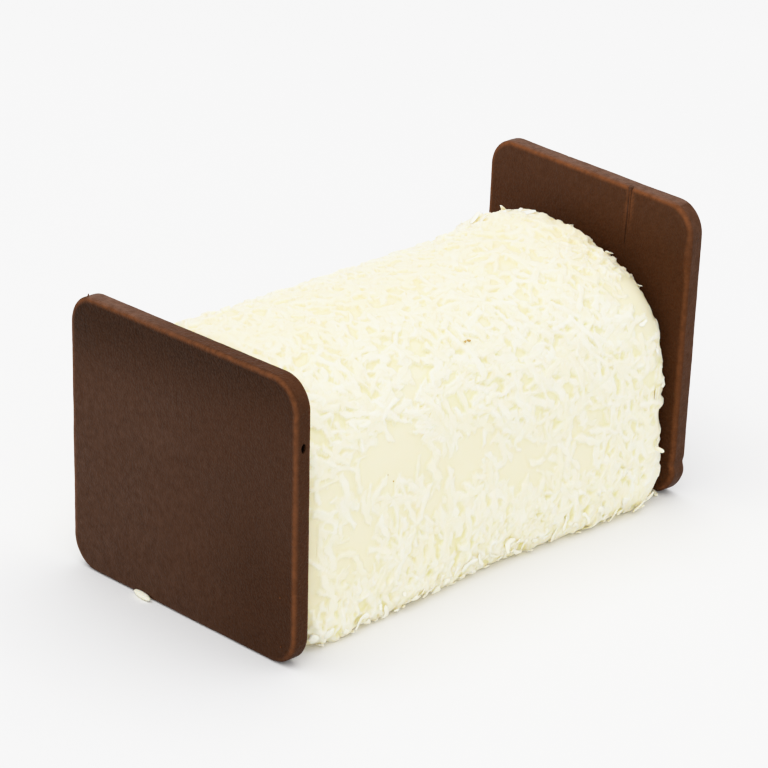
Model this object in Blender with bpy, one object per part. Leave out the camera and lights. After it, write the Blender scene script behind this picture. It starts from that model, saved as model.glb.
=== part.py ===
"""Yule log cake: a glazed log in coconut shreds, held between two moulded chocolate end plates.

+X runs along the log to the upright back plate, -Y is the side with the bare glaze, and +Z is up.
The origin is the middle of the footprint, on the surface that the cake stands on. Lengths are in metres.
"""

import math
import random

import bmesh
import bpy
from mathutils import Vector, noise

GAP = 0.0003
LENGTH = 0.0997

# Both end plates come from one mould: the front one lies on its long side, the back one stands upright.
PLATE_SHORT = 0.0498
PLATE_LONG = 0.0559
PLATE_THICK = 0.0032
PLATE_CORNER = 0.0056
PLATE_EDGE = 0.0006
CORNER_STEPS = 9
EDGE_STEPS = 2
FRONT_LEAN = math.radians(0.5)
BACK_ROLL = math.radians(1.9)
BACK_YAW = math.radians(-1.0)
BACK_SHIFT_Y = 0.0009

# The small casting faults of the plates, in each plate's own frame.
BUBBLE_CENTRE = (0.0018, -PLATE_LONG / 2, 0.0389)
BUBBLE_RADII = (0.00033, 0.0007, 0.0006)
GROOVE_Y = -0.0097
GROOVE_LOW_Z = 0.0446
GROOVE_WIDTH = 0.0005
GROOVE_DEPTH = 0.0003
GROOVE_LEAN = math.radians(-1.4)

# The log: upright walls, an arched top and rounded ends.
LOG_HALF_WIDTH = 0.0245
LOG_HEIGHT = 0.0478
SPRING_HEIGHT = 0.0250
ARCH_POWER = 2.3
BASE_ROUND_FRONT = 0.0040
BASE_ROUND_BACK = 0.0055
BASE_LIFT = 0.60
FRONT_ROUND = 0.0050
BACK_ROUND = 0.0080
WALL_STEPS = 4
ARCH_STEPS = 20
BASE_STEPS = 3
FRONT_STEPS = 3
MIDDLE_STEPS = 17
BACK_STEPS = 5

# Its unevenness: a crest of coconut by the back plate, a dip on the near shoulder, and lumps all over.
CREST = {"x": 0.0325, "girth": 0.0720, "reach_x": 0.0080, "reach_girth": 0.0140, "height": 0.0023}
SHOULDER_DIP = {"x": 0.0400, "girth": 0.0550, "reach_x": 0.0080, "reach_girth": 0.0070, "height": -0.0014}
SHOULDER_SWELL = {"x": 0.0400, "girth": 0.0380, "reach_x": 0.0080, "reach_girth": 0.0080, "height": 0.0006}
LUMP_SIZE = 0.0042
LUMP_HEIGHT = 0.0004

# Bare glaze shows in these ovals, as their middle and half-sizes along X and round the girth.
# Their lumps and shreds thin out towards the middle, the faster the higher these two numbers.
BARE_PATCHES = (
    (-0.0260, 0.0210, 0.0120, 0.0125),
    (0.0120, 0.0165, 0.0150, 0.0055),
    (0.0400, 0.0420, 0.0050, 0.0075),
)
SMOOTHING = 2.0
THINNING = 1.6

# Coconut shreds, as strips that lie on the log.
SHRED_SEED = 28
SHRED_COUNT = 200
SHRED_TRIES = 30
SHRED_LENGTH = (0.0042, 0.0085)
SHRED_WIDTH = (0.0010, 0.0015)
SHRED_THICK = 0.0008
SHRED_TAPER = 0.4
SHRED_RISE = 0.00022
SHRED_TIP_LIFT = 0.0008
SHRED_STATIONS = 3

CHOCOLATE_COLOUR = (0.068, 0.036, 0.022, 1.0)
CHOCOLATE_ROUGHNESS = 0.45
COCONUT_COLOUR = (0.90, 0.86, 0.74, 1.0)
COCONUT_ROUGHNESS = 0.60

# Angles that count as an edge to round off, and as an edge to shade sharp.
ROUND_OFF_ANGLE = math.radians(60)
SHARP_ANGLE = math.radians(35)
TINY_STEP = 1e-5


def clear_scene():
    for thing in list(bpy.data.objects):
        bpy.data.objects.remove(thing)


def finish(name, colour, roughness):
    """A material with a plain colour and shine."""
    material = bpy.data.materials.new(name)
    material.use_nodes = True
    shader = material.node_tree.nodes["Principled BSDF"]
    shader.inputs["Base Color"].default_value = colour
    shader.inputs["Roughness"].default_value = roughness
    shader.inputs["Metallic"].default_value = 0.0
    return material


def object_from(name, points, faces, material=None):
    mesh = bpy.data.meshes.new(name)
    mesh.from_pydata([tuple(p) for p in points], [], faces)
    if material:
        mesh.materials.append(material)
    thing = bpy.data.objects.new(name, mesh)
    bpy.context.scene.collection.objects.link(thing)
    return thing


def face_outwards(thing):
    body = bmesh.new()
    body.from_mesh(thing.data)
    bmesh.ops.recalc_face_normals(body, faces=body.faces)
    body.to_mesh(thing.data)
    body.free()


def apply_modifiers(thing):
    bpy.context.view_layer.objects.active = thing
    for modifier in list(thing.modifiers):
        bpy.ops.object.modifier_apply(modifier=modifier.name)


def cut_away(thing, cutter):
    """Takes the cutter's shape out of the thing, then removes the cutter."""
    boolean = thing.modifiers.new("cut", "BOOLEAN")
    boolean.operation = "DIFFERENCE"
    boolean.solver = "EXACT"
    boolean.object = cutter
    apply_modifiers(thing)
    bpy.data.objects.remove(cutter)


# End plates


def rounded_rectangle(width, height, corner):
    """(y, z) points of an upright rectangle that stands on z = 0, with round corners."""
    middles = (
        (width / 2 - corner, height - corner),
        (-width / 2 + corner, height - corner),
        (-width / 2 + corner, corner),
        (width / 2 - corner, corner),
    )
    points = []
    for quarter, (y, z) in enumerate(middles):
        for step in range(CORNER_STEPS + 1):
            angle = math.pi / 2 * (quarter + step / CORNER_STEPS)
            points.append((y + corner * math.cos(angle), z + corner * math.sin(angle)))
    return points


def moulded_plate(name, width, height, material):
    """An upright plate between x = 0 and its thickness, with softly rounded rims."""
    outline = rounded_rectangle(width, height, PLATE_CORNER)
    count = len(outline)
    points = [(x, y, z) for x in (0.0, PLATE_THICK) for y, z in outline]
    faces = [tuple(range(count)), tuple(range(count, 2 * count))]
    for near in range(count):
        after = (near + 1) % count
        faces.append((near, after, count + after, count + near))
    plate = object_from(name, points, faces, material)
    face_outwards(plate)
    rim = plate.modifiers.new("rim", "BEVEL")
    rim.width = PLATE_EDGE
    rim.segments = EDGE_STEPS
    rim.limit_method = "ANGLE"
    rim.angle_limit = ROUND_OFF_ANGLE
    apply_modifiers(plate)
    return plate


def bubble_cutter():
    """An egg-shaped pit where an air bubble met the plate's side wall."""
    bpy.ops.mesh.primitive_ico_sphere_add(subdivisions=2, radius=1.0, location=BUBBLE_CENTRE)
    cutter = bpy.context.object
    cutter.scale = BUBBLE_RADII
    return cutter


def groove_cutter():
    """A thin wedge for the upright scratch in the back plate's inner face."""
    half = GROOVE_WIDTH / 2
    profile = ((-GROOVE_DEPTH, -half), (-GROOVE_DEPTH, half), (GROOVE_DEPTH, 0.0))
    low, high = GROOVE_LOW_Z, PLATE_LONG + PLATE_EDGE
    points = []
    for z in (low, high):
        lean = (z - low) * math.tan(GROOVE_LEAN)
        points += [(x, GROOVE_Y + y + lean, z) for x, y in profile]
    faces = [(0, 1, 2), (3, 5, 4), (0, 3, 4, 1), (1, 4, 5, 2), (2, 5, 3, 0)]
    cutter = object_from("groove_cutter", points, faces)
    face_outwards(cutter)
    return cutter


def front_plate(material):
    """Leans a little against the log."""
    plate = moulded_plate("front_plate", PLATE_LONG, PLATE_SHORT, material)
    cut_away(plate, bubble_cutter())
    plate.location = (-LENGTH / 2, 0.0, PLATE_THICK * math.sin(FRONT_LEAN))
    plate.rotation_euler = (0.0, FRONT_LEAN, 0.0)
    return plate


def back_plate_swing(half_width):
    """How far the turned back plate's faces shift along X, this far from its middle."""
    return half_width * math.sin(abs(BACK_YAW))


def back_plate_inner_x():
    return LENGTH / 2 - PLATE_THICK - back_plate_swing(PLATE_SHORT / 2)


def back_plate(material):
    """Stands on its near bottom corner, turned a little in its own plane."""
    plate = moulded_plate("back_plate", PLATE_SHORT, PLATE_LONG, material)
    cut_away(plate, groove_cutter())
    corner_reach = PLATE_SHORT / 2 - PLATE_CORNER
    lift = corner_reach * math.sin(BACK_ROLL) + PLATE_CORNER * (1 - math.cos(BACK_ROLL))
    plate.location = (back_plate_inner_x(), BACK_SHIFT_Y, lift)
    plate.rotation_euler = (BACK_ROLL, 0.0, BACK_YAW)
    return plate


# Log


LOG_START = -LENGTH / 2 + PLATE_THICK + (LOG_HEIGHT - FRONT_ROUND) * math.sin(FRONT_LEAN) + GAP
LOG_END = back_plate_inner_x() - back_plate_swing(LOG_HALF_WIDTH - BACK_ROUND) - GAP


def end_inset(x):
    """How far the section has drawn in at x, where the ends are rounded."""
    for radius, depth in ((FRONT_ROUND, x - LOG_START), (BACK_ROUND, LOG_END - x)):
        if depth < radius:
            left = radius - max(depth, 0.0)
            return radius - math.sqrt(radius * radius - left * left)
    return 0.0


def flank(steps):
    """(y, z) points of the section's near half, as fractions of the outline's parts."""
    for step in range(BASE_STEPS):
        yield "base", step / BASE_STEPS
    for step in range(WALL_STEPS):
        yield "wall", step / WALL_STEPS
    for step in range(steps + 1):
        yield "arch", step / steps


def base_round(x):
    """The base edge's radius, which grows towards the back."""
    share = (x - LOG_START) / (LOG_END - LOG_START)
    return BASE_ROUND_FRONT + (BASE_ROUND_BACK - BASE_ROUND_FRONT) * share * share


def section_point(part, share, x):
    """A point of the near half of the section at x, which runs from the base edge up to the top."""
    inset = end_inset(x)
    half_width = LOG_HALF_WIDTH - inset
    low = BASE_LIFT * inset
    radius = base_round(x)
    if part == "base":
        angle = math.pi / 2 * share
        return radius - half_width - radius * math.sin(angle), low + radius * (1 - math.cos(angle))
    if part == "wall":
        foot = low + radius
        return -half_width, foot + (SPRING_HEIGHT - foot) * share
    angle = math.pi / 2 * share
    rise = LOG_HEIGHT - inset - SPRING_HEIGHT
    power = 2 / ARCH_POWER
    return -half_width * math.cos(angle) ** power, SPRING_HEIGHT + rise * math.sin(angle) ** power


def section(x):
    """(y, z) points of the whole section, from the near base edge over the top to the far one."""
    near = [section_point(part, share, x) for part, share in flank(ARCH_STEPS // 2)]
    near[-1] = (0.0, near[-1][1])
    return near + [(-y, z) for y, z in reversed(near[:-1])]


def running_length(points):
    lengths = [0.0]
    for (y0, z0), (y1, z1) in zip(points, points[1:]):
        lengths.append(lengths[-1] + math.hypot(y1 - y0, z1 - z0))
    return lengths


GIRTHS = running_length(section(LOG_START + FRONT_ROUND))
GIRTH = GIRTHS[-1]


def bulge(spot, x, girth):
    """A smooth rise or dip that fades with distance from its middle."""
    along = (x - spot["x"]) / spot["reach_x"]
    round_it = (girth - spot["girth"]) / spot["reach_girth"]
    return spot["height"] * math.exp(-0.5 * (along * along + round_it * round_it))


def bareness(x, girth):
    """1 in the middle of a bare patch of glaze, falling to 0 at its edge."""
    most = 0.0
    for middle_x, middle_girth, half_x, half_girth in BARE_PATCHES:
        away = math.hypot((x - middle_x) / half_x, (girth - middle_girth) / half_girth)
        most = max(most, 1.0 - away * away)
    return most


def relief(x, girth):
    """How far the coating stands out from the plain log."""
    lumps = noise.noise(Vector((x, girth, 0.0)) / LUMP_SIZE) * LUMP_HEIGHT
    coated = 1.0 - min(bareness(x, girth) * SMOOTHING, 1.0)
    fade = min(girth, GIRTH - girth, BASE_ROUND_FRONT) / BASE_ROUND_FRONT
    swell = sum(bulge(spot, x, girth) for spot in (CREST, SHOULDER_DIP, SHOULDER_SWELL))
    return fade * (swell + lumps * coated)


def end_slope(x):
    """How fast the section draws in along X, where the ends are rounded."""
    if not LOG_START < x < LOG_END:
        return 0.0
    return (end_inset(x + TINY_STEP) - end_inset(x - TINY_STEP)) / (2 * TINY_STEP)


def surface(x, girth):
    """The point and outward normal of the log, this far round the girth from the near base edge."""
    points = section(x)
    girth = min(max(girth, 0.0), GIRTH)
    after = next(i for i in range(1, len(GIRTHS)) if girth <= GIRTHS[i])
    share = (girth - GIRTHS[after - 1]) / (GIRTHS[after] - GIRTHS[after - 1])
    start = Vector((x, *points[after - 1]))
    end = Vector((x, *points[after]))
    tangent = (end - start).normalized()
    normal = Vector((end_slope(x), -tangent.z, tangent.y)).normalized()
    return start.lerp(end, share) + normal * relief(x, girth), normal


def log_stations():
    """X of each ring: close together where the ends turn in."""
    quarter = math.pi / 2
    front_turns = [1 - math.cos(quarter * i / FRONT_STEPS) for i in range(FRONT_STEPS)]
    back_turns = [1 - math.cos(quarter * i / BACK_STEPS) for i in range(BACK_STEPS)]
    low, high = LOG_START + FRONT_ROUND, LOG_END - BACK_ROUND
    front = [LOG_START + FRONT_ROUND * turn for turn in front_turns]
    middle = [low + (high - low) * i / MIDDLE_STEPS for i in range(MIDDLE_STEPS + 1)]
    back = [LOG_END - BACK_ROUND * turn for turn in reversed(back_turns)]
    return front + middle + back


def log_core(material):
    """The glazed log before its shreds, as rings joined along X and closed by a flat end each way."""
    stations = log_stations()
    points = [surface(x, girth)[0] for x in stations for girth in GIRTHS]
    count = len(GIRTHS)
    faces = [tuple(range(count)), tuple(range(len(points) - count, len(points)))]
    for ring in range(len(stations) - 1):
        for near in range(count):
            after = (near + 1) % count
            start, end = ring * count, (ring + 1) * count
            faces.append((start + near, start + after, end + after, end + near))
    core = object_from("log", points, faces, material)
    face_outwards(core)
    return core


def shred_points(x, girth, heading, length, width, lift):
    """Corners of a strip that follows the log's surface, with its far tip standing a little proud."""
    corners = []
    for station in range(SHRED_STATIONS):
        share = station / (SHRED_STATIONS - 1)
        along = (share - 0.5) * length
        spot, normal = surface(x + along * math.cos(heading), girth + along * math.sin(heading))
        middle = spot + normal * (SHRED_RISE + lift * share * share)
        round_log = Vector((0.0, normal.z, -normal.y))
        tangent = Vector((1.0, 0.0, 0.0)) * math.cos(heading) + round_log * math.sin(heading)
        taper = 1.0 - SHRED_TAPER * (2 * share - 1) ** 2
        across = normal.cross(tangent).normalized() * width / 2 * taper
        up = normal * SHRED_THICK / 2
        corners += [middle - across - up, middle + across - up, middle + across + up, middle - across + up]
    return corners


def shred_fits(corners):
    """Clear of both end plates and of the surface that the cake stands on."""
    reach = GAP / 2
    return all(LOG_START + reach < c.x < LOG_END - reach and c.z > GAP for c in corners)


def shred(name, corners):
    faces = [(3, 2, 1, 0)]
    for station in range(SHRED_STATIONS - 1):
        start = 4 * station
        for side in range(4):
            after = (side + 1) % 4
            faces.append((start + side, start + after, start + 4 + after, start + 4 + side))
    last = 4 * (SHRED_STATIONS - 1)
    faces.append((last, last + 1, last + 2, last + 3))
    strip = object_from(name, corners, faces)
    face_outwards(strip)
    return strip


def next_spot(draw, taken):
    """Of several random spots on the coated surface, the one furthest from those already taken."""
    best, best_room = None, -1.0
    for _ in range(SHRED_TRIES):
        x = draw.uniform(LOG_START, LOG_END)
        girth = draw.uniform(0.0, GIRTH)
        room = min((math.hypot(x - a, girth - b) for a, b in taken), default=1.0)
        room *= 1.0 - min(bareness(x, girth) * THINNING, 1.0)
        if room > best_room:
            best, best_room = (x, girth), room
    return best


def scatter_shreds():
    """Strips spread evenly over the coated surface, the longest first."""
    draw = random.Random(SHRED_SEED)
    shortest, longest = SHRED_LENGTH
    taken, strips = [], []
    while len(strips) < SHRED_COUNT:
        x, girth = next_spot(draw, taken)
        length = longest - (longest - shortest) * len(strips) / SHRED_COUNT
        width = draw.uniform(*SHRED_WIDTH)
        lift = draw.uniform(0.0, SHRED_TIP_LIFT)
        corners = shred_points(x, girth, draw.uniform(0.0, 2 * math.pi), length, width, lift)
        if shred_fits(corners):
            taken.append((x, girth))
            strips.append(shred(f"shred_{len(strips)}", corners))
    return strips


def island_of(start):
    """The faces that join up with this one, across edges that just two faces share."""
    found = {start}
    waiting = [start]
    while waiting:
        for edge in waiting.pop().edges:
            fresh = [face for face in edge.link_faces if face not in found]
            if len(edge.link_faces) == 2:
                found.update(fresh)
                waiting.extend(fresh)
    return found


def keep_outer_skin(thing):
    """Fills the small hollows that fusing has sealed, and drops loose scraps."""
    body = bmesh.new()
    body.from_mesh(thing.data)
    bmesh.ops.triangulate(body, faces=body.faces)
    left = set(body.faces)
    islands = []
    while left:
        islands.append(island_of(next(iter(left))))
        left -= islands[-1]
    skin = max(islands, key=len)
    spare = [face for face in body.faces if face not in skin]
    bmesh.ops.delete(body, geom=spare, context="FACES")
    body.to_mesh(thing.data)
    body.free()


def coated_log(material):
    """The log with its shreds fused on, as one solid."""
    core = log_core(material)
    coating = bpy.data.collections.new("coating")
    bpy.context.scene.collection.children.link(coating)
    for strip in scatter_shreds():
        bpy.context.scene.collection.objects.unlink(strip)
        coating.objects.link(strip)
    union = core.modifiers.new("coat", "BOOLEAN")
    union.operation = "UNION"
    union.operand_type = "COLLECTION"
    union.collection = coating
    union.solver = "MANIFOLD"
    apply_modifiers(core)
    keep_outer_skin(core)
    for strip in list(coating.objects):
        bpy.data.objects.remove(strip)
    bpy.data.collections.remove(coating)
    return core


def main():
    clear_scene()
    chocolate = finish("chocolate", CHOCOLATE_COLOUR, CHOCOLATE_ROUGHNESS)
    coconut = finish("coconut_glaze", COCONUT_COLOUR, COCONUT_ROUGHNESS)
    front_plate(chocolate)
    back_plate(chocolate)
    coated_log(coconut)
    for thing in bpy.data.objects:
        thing.data.shade_smooth()
        thing.data.set_sharp_from_angle(angle=SHARP_ANGLE)


main()
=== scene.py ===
"""Looks of the yule log cake: glaze and coconut shreds on the log, and the moulded chocolate end plates.

+X runs along the log to the upright back plate, -Y is the side with the bare glaze, and +Z is up.
Lengths are in metres.
"""

import math

import bmesh
import bpy
import numpy as np
from mathutils import Euler, Matrix, Vector, noise


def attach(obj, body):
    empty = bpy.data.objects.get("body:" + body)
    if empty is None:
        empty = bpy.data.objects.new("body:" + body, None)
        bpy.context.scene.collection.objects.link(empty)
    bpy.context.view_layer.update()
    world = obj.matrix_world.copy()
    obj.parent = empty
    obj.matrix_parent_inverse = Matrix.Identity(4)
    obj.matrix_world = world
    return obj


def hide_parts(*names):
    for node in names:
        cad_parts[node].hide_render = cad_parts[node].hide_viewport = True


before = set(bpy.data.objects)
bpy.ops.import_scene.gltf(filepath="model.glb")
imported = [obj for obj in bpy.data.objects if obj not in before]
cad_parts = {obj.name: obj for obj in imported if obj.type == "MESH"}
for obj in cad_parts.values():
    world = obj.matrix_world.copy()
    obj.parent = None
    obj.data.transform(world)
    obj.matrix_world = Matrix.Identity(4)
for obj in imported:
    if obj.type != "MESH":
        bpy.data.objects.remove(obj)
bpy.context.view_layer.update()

BODY = "root"
MILLIMETRE = 0.001
CHOCOLATE_SLOT = "chocolate"
COCONUT_SLOT = "coconut_glaze"

# The plates are those of the frame: a front one on its long side, and an upright back one.
PLATE_SHORT = 0.0498
PLATE_LONG = 0.0559
PLATE_THICK = 0.0032
PLATE_CORNER = 0.0056
PLATE_EDGE = 0.0006
FRONT_LEAN = math.radians(0.5)
BACK_ROLL = math.radians(1.9)
BACK_YAW = math.radians(-1.0)
BACK_SHIFT_Y = 0.0009
LENGTH = 0.0997
GAP = 0.0003

# The log under its coating.
LOG_HALF_WIDTH = 0.0245
LOG_HEIGHT = 0.0478
SPRING_HEIGHT = 0.0250
ARCH_POWER = 2.3
BASE_ROUND_FRONT = 0.0040
BASE_ROUND_BACK = 0.0055
BASE_LIFT = 0.60
FRONT_ROUND = 0.0050
BACK_ROUND = 0.0080

# Swells and dips, as (middle x, middle girth, reach along x, reach round the girth, height).
SWELLS = (
    (-0.0150, 0.0745, 0.0300, 0.0160, -0.0006),
    (0.0335, 0.0780, 0.0025, 0.0100, 0.0010),
    (0.0380, 0.0780, 0.0050, 0.0120, 0.0008),
    (0.0400, 0.0550, 0.0080, 0.0070, -0.0014),
    (0.0400, 0.0380, 0.0080, 0.0080, -0.0001),
    (0.0020, 0.0030, 0.0110, 0.0060, -0.0018),
    (-0.0375, 0.0040, 0.0030, 0.0040, 0.0008),
)

# Bare glaze shows in these ovals, as (middle x, middle girth, half x, half girth).
BARE_PATCHES = (
    (-0.0260, 0.0300, 0.0110, 0.0055),
    (-0.0325, 0.0180, 0.0055, 0.0075),
    (-0.0165, 0.0205, 0.0060, 0.0035),
    (-0.0080, 0.0265, 0.0090, 0.0045),
    (0.0065, 0.0205, 0.0080, 0.0055),
    (-0.0190, 0.0410, 0.0032, 0.0028),
    (0.0215, 0.0195, 0.0035, 0.0055),
    (0.0400, 0.0420, 0.0050, 0.0075),
    (-0.0460, 0.0180, 0.0050, 0.0200),
)


# Node trees

# The sockets of a random value node, as (least, most, result), for each kind of number.
RANDOM_SOCKETS = {"FLOAT": (2, 3, 1), "INT": (4, 5, 2)}


class Tree:
    """Adds nodes to a tree, with their settings and what feeds them."""

    def __init__(self, tree):
        self.tree = tree

    def add(self, kind, inputs=None, **settings):
        node = self.tree.nodes.new(kind)
        for name, value in settings.items():
            setattr(node, name, value)
        for key, value in (inputs or {}).items():
            self.feed(node, key, value)
        return node

    def feed(self, node, key, value):
        if isinstance(value, bpy.types.NodeSocket):
            self.tree.links.new(value, node.inputs[key])
        else:
            node.inputs[key].default_value = value

    def result(self, kind, inputs=None, **settings):
        """The first output of a new node."""
        return self.add(kind, inputs, **settings).outputs[0]

    def given(self):
        """The inputs of a group."""
        return self.add("NodeGroupInput").outputs

    def maths(self, operation, first, second=0.0):
        return self.result("ShaderNodeMath", {0: first, 1: second}, operation=operation)

    def times(self, first, second):
        return self.maths("MULTIPLY", first, second)

    def remap(self, value, low, high, to_low=0.0, to_high=1.0):
        """Value from the range low to high, taken to another range and held inside it."""
        sockets = {"Value": value, "From Min": low, "From Max": high, "To Min": to_low, "To Max": to_high}
        return self.result("ShaderNodeMapRange", sockets)

    def spread(self, share, to_low, to_high):
        """A share from 0 to 1, taken to another range."""
        return self.remap(share, 0.0, 1.0, to_low, to_high)

    def blend(self, factor, first, second):
        """A colour between two colours."""
        return self.add("ShaderNodeMix", {0: factor, 6: first, 7: second}, data_type="RGBA").outputs[2]

    def stain(self, colour, other, mask, strength):
        """The colour, stained with another where the mask is high, at most by this strength."""
        return self.blend(self.times(mask, strength), colour, other)

    def attribute(self, name):
        return self.add("ShaderNodeAttribute", attribute_name=name).outputs["Fac"]

    def vector(self, **parts):
        return self.result("ShaderNodeCombineXYZ", parts)

    def random(self, least, most, seed, kind="FLOAT"):
        """A random number for each point or shred, between two others."""
        least_socket, most_socket, result = RANDOM_SOCKETS[kind]
        sockets = {least_socket: least, most_socket: most, "Seed": seed}
        return self.add("FunctionNodeRandomValue", sockets, data_type=kind).outputs[result]


def new_group(name, kind, inputs, outputs):
    """An empty group's tree, with inputs given as (name, type, default) and outputs as (name, type)."""
    group = bpy.data.node_groups.new(name, kind)
    for label, socket_type, value in inputs:
        socket = group.interface.new_socket(label, in_out="INPUT", socket_type="NodeSocket" + socket_type)
        if value is not None:
            socket.default_value = value
    for label, socket_type in outputs:
        group.interface.new_socket(label, in_out="OUTPUT", socket_type="NodeSocket" + socket_type)
    return Tree(group)


# The part of a noise that is taken to the range from 0 to 1, and the noises, as (name, size, detail).
NOISE_RANGE = (0.3, 0.7)
NOISES = (("Mottle", "Blotch Size", 3.0), ("Grain", "Grain Size", 2.0))


def noise_group():
    """Soft mottling and a fine grain, both read from a place on the piece."""
    inputs = (("Place", "Vector", None), ("Blotch Size", "Float", 0.005), ("Grain Size", "Float", 0.0005))
    tree = new_group("mottle_and_grain", "ShaderNodeTree", inputs, (("Mottle", "Float"), ("Grain", "Float")))
    given = tree.given()
    results = {}
    for output, size, detail in NOISES:
        scale = tree.maths("DIVIDE", 1.0, given[size])
        sockets = {"Vector": given["Place"], "Scale": scale, "Detail": detail}
        results[output] = tree.remap(tree.result("ShaderNodeTexNoise", sockets), *NOISE_RANGE)
    tree.add("NodeGroupOutput", results)
    return tree.tree


MOTTLE = noise_group()


def new_material(name):
    """A material with an empty Principled shader, and the tree to add to."""
    material = bpy.data.materials.new(name)
    material.use_nodes = True
    return material, Tree(material.node_tree), material.node_tree.nodes["Principled BSDF"]


def add_mottle(tree, blotch_size, grain_size):
    """The mottle and grain outputs, at the sizes given."""
    place = tree.add("ShaderNodeTexCoord").outputs["Object"]
    sockets = {"Place": place, "Blotch Size": blotch_size, "Grain Size": grain_size}
    return tree.add("ShaderNodeGroup", sockets, node_tree=MOTTLE).outputs


def dress(tree, shader, colour, roughness, specular, relief=None, depth=0.0):
    """Feeds the shader, with the relief, where there is one, as bumps of this depth."""
    tree.feed(shader, "Base Color", colour)
    tree.feed(shader, "Roughness", roughness)
    tree.feed(shader, "Specular IOR Level", specular)
    if relief is not None:
        tree.feed(shader, "Normal", tree.result("ShaderNodeBump", {"Height": relief, "Distance": depth}))


# How far light spreads inside the coat, for red, green and blue.
LIGHT_SPREAD = (0.8, 0.9, 1.0)


def let_light_in(tree, shader, weight, reach):
    """Makes the piece softly translucent."""
    tree.feed(shader, "Subsurface Weight", weight)
    tree.feed(shader, "Subsurface Radius", LIGHT_SPREAD)
    tree.feed(shader, "Subsurface Scale", reach)


DARK_CHOCOLATE = (0.0185, 0.0072, 0.0025, 1)
WARM_CHOCOLATE = (0.0600, 0.0188, 0.0050, 1)
BLOOM_AND_SHEEN_GREY = (0.1530, 0.0810, 0.0540, 1)
SPOT_BROWN = (0.0260, 0.0080, 0.0026, 1)
GRAIN_BROWN = (0.0850, 0.0400, 0.0220, 1)
WORN_AND_LIT_ORANGE = (0.2000, 0.0680, 0.0240, 1)
PIT_SHADE_BLACK = (0.0060, 0.0025, 0.0012, 1)


def chocolate_material():
    """Matt moulded chocolate, darker or warmer by place, with a painted dark reflection, grey bloom and
    painted sheen, rims orange from wear and painted highlight, and pits blackened with painted shade.
    """
    material, tree, shader = new_material("moulded_chocolate")
    clouds, streaks = add_mottle(tree, blotch_size=0.009, grain_size=0.0013)
    spots, grain = add_mottle(tree, blotch_size=0.0011, grain_size=0.00040)
    # The warm mark is the chocolate's tone, kept darkest along the top of the front face as a painted dark
    # reflection.
    warmth = tree.maths("ADD", tree.attribute("warm"), tree.spread(clouds, -0.07, 0.07))
    # The bloom_and_sheen mark greys the chocolate: bloom, and painted sheen on the tops, the far rim and the
    # front face.
    grey_share = tree.times(tree.attribute("bloom_and_sheen"), tree.spread(streaks, 0.20, 0.45))
    base = tree.blend(grey_share, tree.blend(warmth, DARK_CHOCOLATE, WARM_CHOCOLATE), BLOOM_AND_SHEEN_GREY)
    base = tree.stain(base, SPOT_BROWN, spots, strength=0.26)
    base = tree.stain(base, GRAIN_BROWN, grain, strength=0.28)
    # Rims turn orange from wear and painted highlight, and the scratch lips from wear.
    worn_and_lit = tree.maths("MAXIMUM", tree.attribute("rim"), tree.attribute("lip"))
    worn_and_lit = tree.times(worn_and_lit, tree.spread(streaks, 0.34, 0.68))
    colour = tree.stain(base, WORN_AND_LIT_ORANGE, worn_and_lit, strength=tree.spread(grey_share, 1.0, 0.5))
    # Painted shade blackens the inside of the carved bubble and of the scratches.
    colour = tree.blend(tree.attribute("pit_shade"), colour, PIT_SHADE_BLACK)
    relief = tree.maths("ADD", tree.times(grain, 0.5), tree.times(spots, 0.5))
    roughness = tree.spread(clouds, 0.46, 0.56)
    dress(tree, shader, colour, roughness, specular=0.03, relief=relief, depth=0.00020)
    return material


DEEP_GLAZE = (0.876, 0.796, 0.520, 1)
PALE_GLAZE = (0.888, 0.810, 0.548, 1)
GAP_SHADE_YELLOW = (0.855, 0.800, 0.430, 1)
CREAM_SHRED = (0.904, 0.834, 0.590, 1)
WHITE_SHRED = (0.954, 0.900, 0.740, 1)
CREASE_SHADE_YELLOW = (0.870, 0.810, 0.450, 1)
HOLLOW_SHADE_YELLOW = (0.845, 0.800, 0.380, 1)
EVEN_SIDE = (0.902, 0.824, 0.585, 1)
EVEN_TOP = (0.935, 0.744, 0.442, 1)

# How far inside a shred its white begins and is full, and how wide its crease is, in millimetres. The crease
# gets painted shade and a bump.
WHITE_BEGINS, WHITE_FULL = -0.14, 0.26
CREASE_WIDTH = 0.20
CREASE_DEPTH = 0.7

# How far up the side the colours draw together, and where the top begins and is reached, in millimetres.
SIDE_BEGINS, SIDE_FULL = 3.0, 14.0
TOP_BEGINS, TOP_FULL = 40.0, 60.0


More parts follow.
